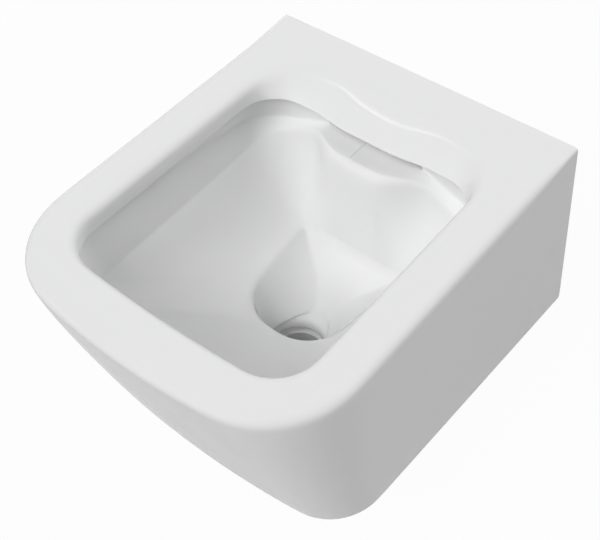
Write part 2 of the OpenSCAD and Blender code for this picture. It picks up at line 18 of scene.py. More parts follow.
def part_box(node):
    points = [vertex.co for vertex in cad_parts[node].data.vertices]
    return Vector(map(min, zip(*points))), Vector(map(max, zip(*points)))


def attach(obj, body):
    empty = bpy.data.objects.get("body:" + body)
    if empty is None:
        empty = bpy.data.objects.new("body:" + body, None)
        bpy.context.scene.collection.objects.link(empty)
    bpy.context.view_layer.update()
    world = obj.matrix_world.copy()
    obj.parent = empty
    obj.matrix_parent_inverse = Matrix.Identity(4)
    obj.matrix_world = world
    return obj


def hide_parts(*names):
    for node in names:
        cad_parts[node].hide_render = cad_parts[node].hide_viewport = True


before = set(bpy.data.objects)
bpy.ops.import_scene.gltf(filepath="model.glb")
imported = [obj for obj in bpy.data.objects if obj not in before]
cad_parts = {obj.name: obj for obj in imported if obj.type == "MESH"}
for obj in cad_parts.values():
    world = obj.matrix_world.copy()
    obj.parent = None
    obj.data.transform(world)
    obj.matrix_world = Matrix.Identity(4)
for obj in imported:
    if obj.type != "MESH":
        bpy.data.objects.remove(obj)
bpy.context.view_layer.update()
print("nodes in the frame:", len(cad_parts))

# %% [markdown]
# ## The camera
# The photograph looks down at the pan from its front right corner. A camera is a place, a
# direction and a lens. The direction is kept as an azimuth, an elevation and a small roll, and
# the place follows from the distance to a target inside the pan, so each can be changed alone.

# %% Camera
PHOTO_WIDTH = 600
SENSOR = 36.0
AZIMUTH, ELEVATION, ROLL = 45.9, 49.3, -7.5
FOCAL_PIXELS = 1182.2
DISTANCE = 1.1303
TARGET = Vector((0.0, -0.250, 0.0))
OFFSET_RIGHT, OFFSET_UP = 0.0323, 0.0123


def make_camera():
    az, el, roll = (math.radians(v) for v in (AZIMUTH, ELEVATION, ROLL))
    forward = Vector((-math.sin(az) * math.cos(el), math.cos(az) * math.cos(el), -math.sin(el)))
    right = forward.cross(Vector((0, 0, 1))).normalized()
    up = right.cross(forward)
    turned_right = right * math.cos(roll) + up * math.sin(roll)
    turned_up = up * math.cos(roll) - right * math.sin(roll)
    place = TARGET + turned_right * OFFSET_RIGHT + turned_up * OFFSET_UP - forward * DISTANCE
    data = bpy.data.cameras.new("camera")
    data.sensor_fit = "HORIZONTAL"
    data.sensor_width = SENSOR
    data.lens = FOCAL_PIXELS * SENSOR / PHOTO_WIDTH
    data.clip_start = 0.05
    camera = bpy.data.objects.new("camera", data)
    axes = Matrix((turned_right, turned_up, -forward)).transposed()
    camera.matrix_world = Matrix.Translation(place) @ axes.to_4x4()
    bpy.context.scene.collection.objects.link(camera)
    bpy.context.scene.camera = camera
    print("camera lens in mm:", round(data.lens, 1))


make_camera()

# %% [markdown]
# ## Outlines
# Seen from above, every level of the pan is the same kind of outline: two straight sides, an arc
# across each end and a rounded corner between them. One function that draws it from a few real
# sizes can make the shell, the rim, the bowl and the sump, and every outline has the same number
# of points, so any two of them can be joined by quads.

# %% Levels and their depths
CORNER_STEPS = 9
END_STEPS = 8
SIDE_STEPS = 13
HALF = 2 * END_STEPS + 2 * CORNER_STEPS + SIDE_STEPS
BULGE_FLAT, BULGE_END = 26.0, 76.0
POINT_POWER = 2.5
CORNER, SIDE = END_STEPS, END_STEPS + CORNER_STEPS
STATIONS = (0, 5, CORNER, CORNER + 4.5, SIDE, SIDE + 4, SIDE + 9, SIDE + SIDE_STEPS, HALF)

Level = namedtuple("Level", "depth w back front back_r front_r back_bow front_bow taper bulge pinch point")


def mix(a, b, t):
    return a + (b - a) * t


def smooth(t):
    t = min(max(t, 0.0), 1.0)
    return t * t * (3 - 2 * t)


def level(depth, w, back, front, back_r, front_r, back_bow, front_bow, taper=0.0, bulge=0.0, pinch=0.0,
          point=0.0):
    """A depth may be one number, or one for each station from the back round to the front."""
    depth = np.ones(len(STATIONS)) * depth
    return Level(depth, w, back, front, back_r, front_r, back_bow, front_bow, taper, bulge, pinch, point)


def depths(lv):
    """Depth of every point of a level: a smooth curve through its stations."""
    x, y = np.array(STATIONS, float), lv.depth
    slope = np.diff(y) / np.diff(x)
    tangent = np.concatenate([[0], (slope[:-1] + slope[1:]) / 2, [0]])
    tangent[1:-1][slope[:-1] * slope[1:] <= 0] = 0
    half = []
    for k in range(HALF + 1):
        i = min(int(np.searchsorted(x, k, "right")) - 1, len(x) - 2)
        h = x[i + 1] - x[i]
        t = (k - x[i]) / h
        half.append(y[i] * (1 + 2 * t) * (1 - t) ** 2 + y[i + 1] * t * t * (3 - 2 * t)
                    + h * (tangent[i] * t * (1 - t) ** 2 - tangent[i + 1] * t * t * (1 - t)))
    return half + half[-2:0:-1]


print("stations round half an outline:", len(STATIONS))


# %% Points of one outline
def blend(a, b, t):
    return Level(*[mix(p, q, t) for p, q in zip(a, b)])


def quarter(w, reach, radius, bow):
    """Points from where a side ends, over the corner, to the middle of the end."""
    end_r = (w * w + bow * bow) / (2 * bow)
    rise = math.sqrt(max((end_r - radius) ** 2 - (w - radius) ** 2, 0.0))
    turn = math.atan2(rise, w - radius)
    points = []
    for i in range(CORNER_STEPS + 1):
        a = turn * i / CORNER_STEPS
        points.append((w - radius + radius * math.cos(a), reach - end_r + rise + radius * math.sin(a)))
    for i in range(1, END_STEPS + 1):
        a = mix(turn, math.pi / 2, i / END_STEPS)
        points.append((end_r * math.cos(a), reach - end_r + end_r * math.sin(a)))
    return points


def outline(lv):
    """Points of one level in millimetres, as x and distance from the wall, once round."""
    middle, reach = (lv.back + lv.front) / 2, (lv.front - lv.back) / 2
    back = quarter(lv.w, reach, lv.back_r, lv.back_bow)
    front = quarter(lv.w, reach, lv.front_r, lv.front_bow)
    half = [(x, middle - y) for x, y in reversed(back)]
    for i in range(1, SIDE_STEPS):
        half.append((lv.w, mix(middle - back[0][1], middle + front[0][1], i / SIDE_STEPS)))
    half += [(x, middle + y) for x, y in front]
    points = half + [(-x, y) for x, y in reversed(half[1:-1])]
    shaped = []
    for x, y in points:
        along = min((y - lv.back) / (lv.front - lv.back), 1.0)
        x *= 1 + lv.taper / lv.w * along - lv.pinch * (1 - along) - lv.point * (1 - along) ** POINT_POWER
        near_back = 1 - smooth(along / 0.3)
        swell = 1 - smooth((abs(x) - BULGE_FLAT) / (BULGE_END - BULGE_FLAT))
        shaped.append((x, y + lv.bulge * swell * near_back))
    return shaped


print("points in an outline:", len(outline(level(0, 136, 49, 380, 52, 46, 24, 8))))

# %% [markdown]
# ## The outside of the shell
# The driving sizes are read off the frame's box where they can be: the height of the rim and the
# underside. The others are the real sizes of this pan in millimetres. The sides stand almost
# upright for 217 mm, then roll under to a smaller flat base, and the front leans back on the way
# down. Every level is worked out from its depth below the rim.

# %% Shell levels
MM_IN_A_METRE = 1000
pan_low, pan_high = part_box("pan")
RIM = pan_high.z * MM_IN_A_METRE
HEIGHT = (pan_high.z - pan_low.z) * MM_IN_A_METRE
PAN_W, PAN_L = 360.0, 432.0
SIDE_FLARE = 5.0
FRONT_BOW, CORNER_R = 22.0, 100.0
KNEE_DEPTH, KNEE_SETBACK, KNEE_BOW, KNEE_CORNER_R, KNEE_ROLL = 217.0, 57.0, 15.0, 58.0, 12.0
SETBACK_CURVE, CORNER_CURVE = 1.15, 0.6
BASE_W, BASE_L, BASE_CORNER_R, BASE_EDGE = 206.0, 285.0, 60.0, 4.0
EDGE_R, WALL_EDGE_R, EDGE_FADE = 9.0, 2.0, 60.0
PAST_WALL = 14.0
SQUARE_R, SQUARE_BOW = 0.6, 0.02
ROLL_SHARE, UNDER_CURVE = 0.06, 1.25


def shell_level(depth, inset=0.0, back=-PAST_WALL):
    s = max(depth, 0.0) / KNEE_DEPTH
    return level(depth, PAN_W / 2 - inset, back, PAN_L - KNEE_SETBACK * s ** SETBACK_CURVE - inset, SQUARE_R,
                 mix(CORNER_R, KNEE_CORNER_R, s ** CORNER_CURVE) - inset, SQUARE_BOW,
                 mix(FRONT_BOW, KNEE_BOW, s), mix(SIDE_FLARE, -SIDE_FLARE, s))


def under_level(u, inset=0.0, foot=HEIGHT - BASE_EDGE, back=-PAST_WALL):
    """Level of the underside, from 0 below the roll of the knee to 1 at the depth foot."""
    s = mix(ROLL_SHARE, 1, u)
    depth = mix(KNEE_DEPTH + KNEE_ROLL, foot, u ** UNDER_CURVE)
    return level(depth, mix(PAN_W, BASE_W, s) / 2 - inset, back,
                 mix(PAN_L - KNEE_SETBACK, BASE_L, s) - inset, SQUARE_R,
                 mix(KNEE_CORNER_R, BASE_CORNER_R, s) - inset, SQUARE_BOW, KNEE_BOW,
                 mix(-SIDE_FLARE, 0, s))


def base_level(depth, inset):
    return level(depth, BASE_W / 2 - inset, -PAST_WALL, BASE_L - inset, SQUARE_R,
                 BASE_CORNER_R - inset, SQUARE_BOW, KNEE_BOW)


def outer_levels():
    levels = [base_level(HEIGHT, inset) for inset in (22.0, 6.0, 2.5)]
    levels += [base_level(HEIGHT - 1.5, 0.6)]
    levels += [under_level(u) for u in (0.97, 0.86, 0.72, 0.58, 0.44, 0.3, 0.16, 0.05, 0.0)]
    levels += [shell_level(d) for d in (221, 212, 200, 180, 155, 130, 105, 80, 55, 35, 20, 13)]
    return levels


def edge_levels(radius):
    """The rounded outer edge of the rim."""
    angles = [math.radians(a) for a in (0, 22.5, 45, 67.5, 90)]
    return [shell_level(radius * (1 - math.sin(a)), radius * (1 - math.cos(a))) for a in angles]


print("levels of the outside:", len(outer_levels()))

# %% [markdown]
# ## The bowl
# The inside starts at the rounded inner edge of the rim. At the back the rim slopes forward as an
# apron over the flush slot, and its lower edge runs on along the sides as the soft lower edge of
# the rim's face. Below it a channel guides the flush round the bowl: a level ledge in the middle
# of the back, a shelf that drops round the back corners, and a steep band along the sides that
# fades towards the front. So the channel's two lines, the crease and the edge, don't lie level,
# and each gets its own depth at stations round the outline. Then the floor falls to the sump,
# whose back wall narrows to a point behind the mouth of the trap.

# %% Sizes of the bowl
OPENING_W, OPENING_FRONT, OPENING_FLARE = 132.0, 376.0, 5.0
OPENING_R, OPENING_BOW = 44.0, 6.0
LIP = 9.0
SUMP_DEPTH, MOUTH_DEPTH = 150.0, 206.0
MOUTH_Y, TRAP_R = 222.0, 28.0
SUMP_FRONT_W, SUMP_PINCH, TOE_POINT = 55.0, -0.218, 0.86
FLOOR_CURVE = 1.5
CREASE = np.array((36.0, 36.2, 49, 51, 44, 35, 28.5, 27, 27))
EDGE = np.array((36.6, 37.0, 53, 62, 71, 74.5, 77, 79, 79))
FLOOR = np.array((54.0, 54.0, 66, 73, 80.5, 83.5, 86, 88, 88))

print("sump edge and mouth below the rim in mm:", SUMP_DEPTH, MOUTH_DEPTH)


# %% Rim and channel levels
def lip(depth, grow, back, back_r, bow, bulge=0.0):
    """Level of the rounded inner edge of the rim and of the apron that slopes down from it."""
    return level(depth, OPENING_W + grow, back, OPENING_FRONT + grow, back_r + grow, OPENING_R + grow,
                 bow, OPENING_BOW, OPENING_FLARE, bulge)


def wall(depth, w, back, bulge, back_r=40.0, bow=3.0):
    """Level of the upright wall, where bulge is how far its middle comes forward."""
    inset = OPENING_W - w
    return level(depth, w, back, OPENING_FRONT - inset, back_r, OPENING_R - inset, bow, OPENING_BOW,
                 OPENING_FLARE, bulge)


def rim_levels():
    levels = [
        lip(0.0, LIP, 45, 49, 23), lip(0.7, 5.6, 47.3, 49, 23), lip(2.6, 2.6, 52.0, 49, 21),
        lip(5.5, 0.7, 58.8, 48, 17, 0.4), lip(9.0, 0.0, 66.0, 46, 13, 1.2), lip(13.0, 0.0, 73.0, 44, 9, 2.6),
        lip(16.5, 0.0, 79.0, 42, 5, 4.2),
        wall(18.6, 132.1, 82.0, 5.4, 40), wall(20.3, 132.5, 84.0, 6.2, 40),
        wall(21.6, 133.4, 83.4, 6.2, 40), wall(22.4, 135.4, 80.5, 4.0, 41),
        wall(CREASE * 0.1 + 20.8, 139.2, 77.6, 0.0, 42), wall(CREASE * 0.55 + 10.5, 141.2, 77.0, 0.0, 42),
        wall(CREASE - 0.9, 141.6, 77.0, 0.0, 42),
    ]
    for p in (0.03, 0.12, 0.35, 0.6, 0.82, 0.94, 1.0):
        levels.append(wall(mix(CREASE, EDGE, p), mix(141.0, 130.8, p ** 0.75), mix(77.4, 86.4, p),
                           20.0 * smooth(p)))
    levels.append(wall(EDGE + (1.7, 1.7, 1.4, 1.2, 1.2, 1.2, 1.2, 1.2, 1.2), 129.8, 87.2, 23.0))
    levels.append(wall(EDGE + (6.0, 5.5, 4.5, 4.0, 3.6, 3.6, 3.6, 3.6, 3.6), 128.0, 88.2, 25.5))
    return levels


print("levels of the rim and channel:", len(rim_levels()))


# %% Floor and sump levels
def floor_levels():
    floor = wall(FLOOR, 124.0, 89.6, 26.0)
    edge = level(SUMP_DEPTH, SUMP_FRONT_W, 121.0, 252.0, 7, 46, 2.0, 12.0, 0.0, 0.0, SUMP_PINCH)
    levels = []
    for u in (0.0, 0.1, 0.22, 0.34, 0.46, 0.58, 0.7, 0.81, 0.9, 0.96):
        fall = 1 - (1 - u) ** FLOOR_CURVE
        lv = blend(floor, edge, u)
        levels.append(lv._replace(depth=mix(floor.depth, edge.depth, fall),
                                  back=mix(floor.back, edge.back, fall),
                                  back_r=mix(floor.back_r, edge.back_r, fall ** 2),
                                  bulge=mix(floor.bulge, 0.0, fall)))
    levels.append(edge._replace(depth=edge.depth + 2.2, w=SUMP_FRONT_W - 2.2, back=122.2, front=250.4))
    return levels


def sump_levels():
    well = level(SUMP_DEPTH + 7, SUMP_FRONT_W - 4.6, 124.5, 248.5, 5, 40, 2.0, 12.0, 0.0, 0.0, SUMP_PINCH)
    toe = level(MOUTH_DEPTH - 3.2, TRAP_R + 3.6, 177.0, MOUTH_Y + TRAP_R + 2.6, 3.0, 26.0, 1.0, 22.0,
                0.0, 0.0, 0.0, TOE_POINT)
    mouth = level(MOUTH_DEPTH - 0.6, TRAP_R + 2.6, MOUTH_Y - TRAP_R - 2.6, MOUTH_Y + TRAP_R + 2.6,
                  0.96 * TRAP_R, 0.96 * TRAP_R, 0.88 * TRAP_R, 0.88 * TRAP_R)
    levels = [blend(well, toe, v) for v in (0.0, 0.15, 0.35, 0.55, 0.73, 0.86)]
    levels.append(blend(toe, mouth, 0.12)._replace(depth=mix(well.depth, toe.depth, 0.96)))
    levels += [blend(toe, mouth, v)._replace(depth=mix(toe.depth, mouth.depth, v ** 1.6))
               for v in (0.3, 0.55, 0.8)]
    levels += [mouth, level(MOUTH_DEPTH + 3.0, TRAP_R + 0.6, MOUTH_Y - TRAP_R - 0.6, MOUTH_Y + TRAP_R + 0.6,
                            0.97 * TRAP_R, 0.97 * TRAP_R, 0.9 * TRAP_R, 0.9 * TRAP_R)]
    levels.append(level(MOUTH_DEPTH + 7, TRAP_R, MOUTH_Y - TRAP_R, MOUTH_Y + TRAP_R,
                        0.98 * TRAP_R, 0.98 * TRAP_R, 0.92 * TRAP_R, 0.92 * TRAP_R))
    return levels


def bowl_levels():
    return rim_levels() + floor_levels() + sump_levels()


print("levels of the bowl:", len(bowl_levels()))

# %% [markdown]
# ## The way through the trap
# Below the sump the water turns under the seal, climbs and leaves towards the wall. Its middle
# line is a short straight, an arc and a Bezier curve. The same round ring is carried along it, so
# the glaze runs on from the bowl without a seam, and the outside of the trap uses the same line
# with a larger radius.

# %% Trap line
BASE_Z = RIM - HEIGHT
MOUTH_Z = RIM - MOUTH_DEPTH
OUTLET_Z = -100.0
OUTLET_L, OUTLET_R, OUTLET_BORE_R = 48.0, 51.0, 44.0
CROWN_Y = OUTLET_L + 6
DIP_Y, DIP_Z = 142.0, BASE_Z + 45
BEND_R = 42.0
UP = ((DIP_Y, DIP_Z), (DIP_Y - 60, DIP_Z), (CROWN_Y + 60, OUTLET_Z), (CROWN_Y, OUTLET_Z))


def bezier(p, t):
    weights = ((1 - t) ** 3, 3 * t * (1 - t) ** 2, 3 * t * t * (1 - t), t ** 3)
    return sum(np.array(q) * w for q, w in zip(p, weights))


def trap_line(steps):
    start, bend = MOUTH_Z - 7, DIP_Z + BEND_R
    line = [(MOUTH_Y, mix(start, bend, i / 3)) for i in range(3)]
    for i in range(steps + 1):
        a = math.pi / 2 * i / steps
        line.append((MOUTH_Y - BEND_R * (1 - math.cos(a)), bend - BEND_R * math.sin(a)))
    return np.array(line + [bezier(UP, i / (2 * steps)) for i in range(2 * steps + 1)])


def trap_rings(first_ring, radius, steps=7):
    """Rings along the trap, turned like the last ring of the bowl so that the points meet."""
    centre = first_ring.mean(axis=0)
    angles = np.arctan2(-(first_ring[:, 1] - centre[1]), first_ring[:, 0] - centre[0])
    line = trap_line(steps)
    rings = []
    for i in range(1, len(line)):
        a, b = line[max(i - 1, 0)], line[min(i + 1, len(line) - 1)]
        along = (b - a) / np.linalg.norm(b - a)
        ring = np.zeros((len(angles), 3))
        ring[:, 0] = radius * np.cos(angles)
        ring[:, 1] = -(line[i][0] + radius * np.sin(angles) * -along[1])
        ring[:, 2] = line[i][1] + radius * np.sin(angles) * along[0]
        rings.append(ring)
    return rings


print("trap length in mm:", round(float(np.linalg.norm(np.diff(trap_line(20), axis=0), axis=1).sum())))

# %% [markdown]
# ## From levels to a mesh
# Joining the levels by quads gives a cage. One step of subdivision rounds it the way a glaze
# rounds every edge of the clay. The cage is closed by a face over each end.

# %% Rings and skins
MM = 0.001


def ring_of(lv):
    return np.array([(x, -y, RIM - depth) for (x, y), depth in zip(outline(lv), depths(lv))])


def new_object(name, mesh):
    obj = bpy.data.objects.new(name, mesh)
    bpy.context.scene.collection.objects.link(obj)
    return obj


def skin(name, rings):
    n = len(rings[0])
    faces = [(k * n + i, k * n + (i + 1) % n, (k + 1) * n + (i + 1) % n, (k + 1) * n + i)
             for k in range(len(rings) - 1) for i in range(n)]
    faces += [tuple(range(n)), tuple(range((len(rings) - 1) * n, len(rings) * n))]
    mesh = bpy.data.meshes.new(name)
    mesh.from_pydata((np.concatenate(rings) * MM).tolist(), [], faces)
    face_outwards(mesh)
    return new_object(name, mesh)


def face_outwards(mesh):
    bm = bmesh.new()
    bm.from_mesh(mesh)
    bmesh.ops.recalc_face_normals(bm, faces=bm.faces)
    bm.to_mesh(mesh)
    bm.free()


print("points in a ring:", len(ring_of(bowl_levels()[0])))


# %% Modifiers made plain
def applied(obj):
    """The object with its modifiers turned into plain mesh."""
    bpy.context.view_layer.update()
    evaluated = obj.evaluated_get(bpy.context.evaluated_depsgraph_get())
    mesh = bpy.data.meshes.new_from_object(evaluated)
    obj.modifiers.clear()
    old = obj.data
    obj.data = mesh
    bpy.data.meshes.remove(old)
    return obj


def subdivided(obj, levels=1):
    modifier = obj.modifiers.new("round", "SUBSURF")
    modifier.levels = levels
    modifier.render_levels = levels
    return applied(obj)


def joined(target, others, operation):
    """Adds or cuts the other solids, which are used up."""
    for other in others:
        modifier = target.modifiers.new("join", "BOOLEAN")
        modifier.operation = operation
        modifier.solver = "MANIFOLD"
        modifier.object = other
        applied(target)
        bpy.data.objects.remove(other)
    return target


def report(obj):
    bm = bmesh.new()
    bm.from_mesh(obj.data)
    open_edges = sum(1 for e in bm.edges if not e.is_manifold)
    print(obj.name, "faces", len(bm.faces), "open edges", open_edges,
          "litres", round(bm.calc_volume() * 1000, 2))
    bm.free()


print("subdivision and joins are applied at once, so no modifier stays live")

# %% [markdown]
# ## The china's skin
# One skin runs up the outside, over the rim, down the bowl and through the trap. The rim is level
# on a real pan, but not dead flat, so it gets a crown of half a millimetre. Its outer edge is
# round, and turns crisp where it meets the wall.


# %% Skin of the china
def edge_rings():
    """The rounded edge, which turns crisp over its last stretch at the wall."""
    rings = []
    for soft, crisp in zip(edge_levels(EDGE_R), edge_levels(WALL_EDGE_R)):
        soft, crisp = ring_of(soft), ring_of(crisp)
        share = np.array([smooth(-y / EDGE_FADE) for y in soft[:, 1]])[:, None]
        rings.append(crisp * (1 - share) + soft * share)
    return rings


outer = [ring_of(lv) for lv in outer_levels()] + edge_rings()
inner = [ring_of(lv) for lv in bowl_levels()]
edge_ring, lip_ring = outer[-1], inner[0]
CROWN = 0.5
deck = []
for t in (0.2, 0.4, 0.6, 0.8):
    ring = mix(edge_ring, lip_ring, t)
    ring[:, 2] += CROWN * math.sin(math.pi * t)
    deck.append(ring)
bore = trap_rings(inner[-1], TRAP_R)
pan = subdivided(skin("china", outer + deck + inner + bore))
report(pan)

# %% [markdown]
# ## The open back
# A casting is hollow between its outer shell and the bowl, and open at the wall. The hollow is a
# solid of its own: the shell drawn in by its wall, less the bowl, the trap, the outlet, the
# chamber for the flush and the two bosses with their ribs. Cutting it away leaves all of them.

# %% Sizes of the inside
SHELL_T, DECK_T, BOWL_T, TRAP_T = 10.0, 14.0, 9.0, 8.0
BOSS_R, BOSS_Y, STUD_X, RIB_T = 23.0, 5.0, 90.0, 10.0
INLET_Z, INLET_R, INLET_T, INLET_BACK, INLET_L = 35.0, 27.5, 9.0, 3.0, 30.0
CHAMBER_W, CHAMBER_DEPTH, CHAMBER_T = 116.0, 72.0, 8.0
CHAMBER_Y = INLET_BACK + INLET_L
CHAMBER_FRONT, BLOCK_Y, BOSS_END = 72.0, 97.6, 90.0
print("walls of the shell, deck, bowl and trap in mm:", SHELL_T, DECK_T, BOWL_T, TRAP_T)


# %% Boxes and turned solids
def box(name, low, high, bevel=0.0):
    bm = bmesh.new()
    bmesh.ops.create_cube(bm, size=1.0)
    for v in bm.verts:
        v.co = Vector([mix(low[i], high[i], v.co[i] + 0.5) * MM for i in range(3)])
    if bevel:
        bmesh.ops.bevel(bm, geom=bm.edges[:], offset=bevel * MM, segments=4, profile=0.5, affect="EDGES")
    mesh = bpy.data.meshes.new(name)
    bm.to_mesh(mesh)
    bm.free()
    face_outwards(mesh)
    return new_object(name, mesh)


def turned_y(name, profile, x, z, steps=96):
    """Solid turned round a line that runs into the wall: pairs of distance from it and radius."""
    rings = []
    for y, r in profile:
        a = np.arange(steps) * 2 * math.pi / steps
        ring = np.zeros((steps, 3))
        ring[:, 0], ring[:, 1], ring[:, 2] = x + r * np.cos(a), -y, z + r * np.sin(a)
        rings.append(ring)
    return skin(name, rings)


def turned_z(name, profile, x, y, steps=64):
    rings = []
    for z, r in profile:
        a = np.arange(steps) * 2 * math.pi / steps
        ring = np.zeros((steps, 3))
        ring[:, 0], ring[:, 1], ring[:, 2] = x + r * np.cos(a), -y + r * np.sin(a), z
        rings.append(ring)
    return skin(name, rings)


def rounded_end(y, r, edge=2.5, steps=4):
    """Rounded free end of a turned solid at distance y."""
    angles = [math.pi / 2 * i / steps for i in range(steps + 1)]
    return [(y + edge * (1 - math.sin(a)), r - edge * (1 - math.cos(a))) for a in reversed(angles)]


print("rings in a rounded end:", len(rounded_end(0, OUTLET_R)))


# %% Hollow
def bowl_outside():
    levels = [wall(18, 138.5, 77, 0.0), wall(CREASE, 138.5, 77, 0.0)] + (floor_levels() + sump_levels())[::2]
    rings = []
    for lv in levels:
        drop = BOWL_T / 2 if lv.depth[-1] > 50 else 0.0
        rings.append(ring_of(lv._replace(
            depth=lv.depth + drop, w=lv.w + BOWL_T, back=lv.back - BOWL_T, front=lv.front + BOWL_T,
            back_r=lv.back_r + BOWL_T, front_r=lv.front_r + BOWL_T)))
    top = rings[0].copy()
    top[:, 2] = RIM - DECK_T / 2
    return skin("bowl_outside", [top] + rings)


def tube_solid(name, radius):
    ring = ring_of(bowl_levels()[-1])
    return skin(name, trap_rings(ring, radius, 8))


def hollow():
    levels = [shell_level(d, SHELL_T) for d in (DECK_T, 110.0, KNEE_DEPTH)]
    levels += [under_level(u, SHELL_T, HEIGHT - SHELL_T) for u in (0.0, 0.25, 0.5, 0.75, 1.0)]
    solid = skin("hollow", [ring_of(lv) for lv in levels])
    w = CHAMBER_W / 2 + CHAMBER_T
    parts = [
        bowl_outside(),
        tube_solid("trap_outside", TRAP_R + TRAP_T),
        turned_y("outlet", rounded_end(0, OUTLET_R, 2.0) + [
            (OUTLET_L, OUTLET_R), (OUTLET_L + 16, TRAP_R + TRAP_T), (OUTLET_L + 24, 20)], 0, OUTLET_Z),
        box("chamber_block", (-w, -BLOCK_Y, RIM - CHAMBER_DEPTH - CHAMBER_T),
            (w, -CHAMBER_Y + CHAMBER_T, RIM - 5), 5),
        turned_y("inlet_boss", rounded_end(INLET_BACK, INLET_R + INLET_T, 2.5) + [
            (CHAMBER_Y + 4, INLET_R + INLET_T)], 0, INLET_Z),
    ]
    for side in (-1, 1):
        x = side * STUD_X
        parts.append(turned_y("boss", rounded_end(BOSS_Y, BOSS_R, 2.5) + [(BOSS_END, BOSS_R)], x, 0, 64))
        parts.append(box("rib", (x - RIB_T / 2, -BOSS_END, 0), (x + RIB_T / 2, -BOSS_Y - 2, RIM - 5), 2.5))
        low, high = sorted((x, side * (PAN_W / 2 - SHELL_T / 2)))
        parts.append(box("rib", (low, -BOSS_END, -RIB_T / 2), (high, -BOSS_Y - 2, RIB_T / 2), 2.5))
    return joined(solid, parts, "DIFFERENCE")


void = hollow()
report(void)

# %% [markdown]
# ## Cutting the casting
# The back is cut flat at the wall, and the bores, the chamber, the slot under the apron and the
# bed of the distributor's tongue come out with the hollow. Each tool is a closed solid that ends
# a little past the surface that it opens, so that no thin skin is left over a hole.

# %% Cuts
BOSS_BORE_R, BOSS_BORE_L, SCREW_Y = 13.5, 72.0, 44.0
BUSH_R, BUSH_FLANGE_R, SEAT_Z = 7.0, 9.5, -21.0
ACCESS_R, PLUG_HEAD_R, PLUG_HEAD_T = 6.5, 7.5, 1.5
SLOT_TOP, SLOT_FOOT, SLOT_END = 25.0, 35.0, 84.0
TONGUE_W, TONGUE_Y, TONGUE_FOOT = 22.0, 104.4, 39.5
GAP, SEAM, STEP = 0.4, 0.12, 0.01


def cuts():
    tools = [
        box("behind_wall", (-400, 0, -400), (400, 60, 400)),
        turned_y("outlet_bore", [(-20, OUTLET_BORE_R + 1.5), (0.5, OUTLET_BORE_R + 0.4), (2, OUTLET_BORE_R),
                                 (OUTLET_L - 8, OUTLET_BORE_R), (OUTLET_L + 8, TRAP_R),
                                 (OUTLET_L + 9, TRAP_R)], 0, OUTLET_Z),
        turned_y("inlet_bore", [(-20, INLET_R + 0.8), (INLET_BACK + 0.8, INLET_R),
                                (CHAMBER_Y + 2, INLET_R)], 0, INLET_Z),
        box("chamber", (-CHAMBER_W / 2, -CHAMBER_FRONT, RIM - CHAMBER_DEPTH),
            (CHAMBER_W / 2, -CHAMBER_Y, RIM - DECK_T - 6), 3),
        box("slot", (-CHAMBER_W / 2, -SLOT_END, RIM - SLOT_FOOT),
            (CHAMBER_W / 2, -CHAMBER_FRONT + 1, RIM - SLOT_TOP), 1),
        box("tongue_bed", (-TONGUE_W / 2 - SEAM, -TONGUE_Y - SEAM, RIM - TONGUE_FOOT - SEAM),
            (TONGUE_W / 2 + SEAM, -CHAMBER_FRONT + 1, RIM - SLOT_TOP)),
    ]
    for side in (-1, 1):
        x = side * STUD_X
        tools.append(turned_y("stud_bore", [(-20, BOSS_BORE_R), (BOSS_BORE_L, BOSS_BORE_R)], x, 0, 64))
        wide, narrow = BUSH_FLANGE_R + GAP, BUSH_R + GAP / 2
        tools.append(turned_z("bush_bore", [(-BOSS_R - 1, wide), (SEAT_Z, wide), (SEAT_Z + STEP, narrow),
                                            (0, narrow)], x, SCREW_Y))
        wide, seat = PLUG_HEAD_R + GAP / 2, BASE_Z + PLUG_HEAD_T
        tools.append(turned_z("access_bore", [(BASE_Z - 1, wide), (seat, wide), (seat + STEP, ACCESS_R),
                                              (BASE_Z + 20, ACCESS_R)], x, SCREW_Y))
    return tools


joined(pan, [void] + cuts(), "DIFFERENCE")
report(pan)
pan.data.shade_smooth()
pan.data.set_sharp_from_angle(angle=math.radians(32))

# %% [markdown]
# ## Geometry Nodes for the fittings
# The rubber collar in the flush inlet is a tube with rows of rounded lips, and a screw's thread is
# one ridge that follows a helix. They could be drawn point by point, but both repeat or follow a
# path, so a tree of Geometry Nodes grows them from a few named sizes. Nothing in them is random.
# The result is turned into a plain mesh.

# %% Growing a piece
TURN_STEPS, LIP_STEPS, THREAD_STEPS, FILLET_STEPS = 96, 20, 32, 4


def geometry_tree(name, inputs):
    """An empty tree with named inputs: pairs of a name and the kind of its socket."""
    tree = bpy.data.node_groups.new(name, "GeometryNodeTree")
    for label, kind in inputs:
        tree.interface.new_socket(label, in_out="INPUT", socket_type="NodeSocket" + kind)
    tree.interface.new_socket("Geometry", in_out="OUTPUT", socket_type="NodeSocketGeometry")
    return tree, tree.nodes.new("NodeGroupInput").outputs, tree.nodes.new("NodeGroupOutput").inputs


def grow_node(tree, kind, links=(), **values):
    """A node with some inputs linked and some set: underscores in names stand for spaces."""
    node = tree.nodes.new(kind)
    for label, socket in dict(links).items():
        tree.links.new(socket, node.inputs[label])
    for label, value in values.items():
        node.inputs[label.replace("_", " ")].default_value = value
    return node.outputs[0]


def finish_tree(tree, parts, material, output):
    """Melts the parts into one closed solid and paints it."""
    melt = tree.nodes.new("GeometryNodeMeshBoolean")
    melt.operation = "UNION"
    melt.solver = "MANIFOLD"
    for part in parts:
        tree.links.new(part, melt.inputs["Mesh 2"])
    real = grow_node(tree, "GeometryNodeRealizeInstances", {"Geometry": melt.outputs[0]})
    painted = grow_node(tree, "GeometryNodeSetMaterial", {"Geometry": real, "Material": material})
    tree.links.new(painted, output)


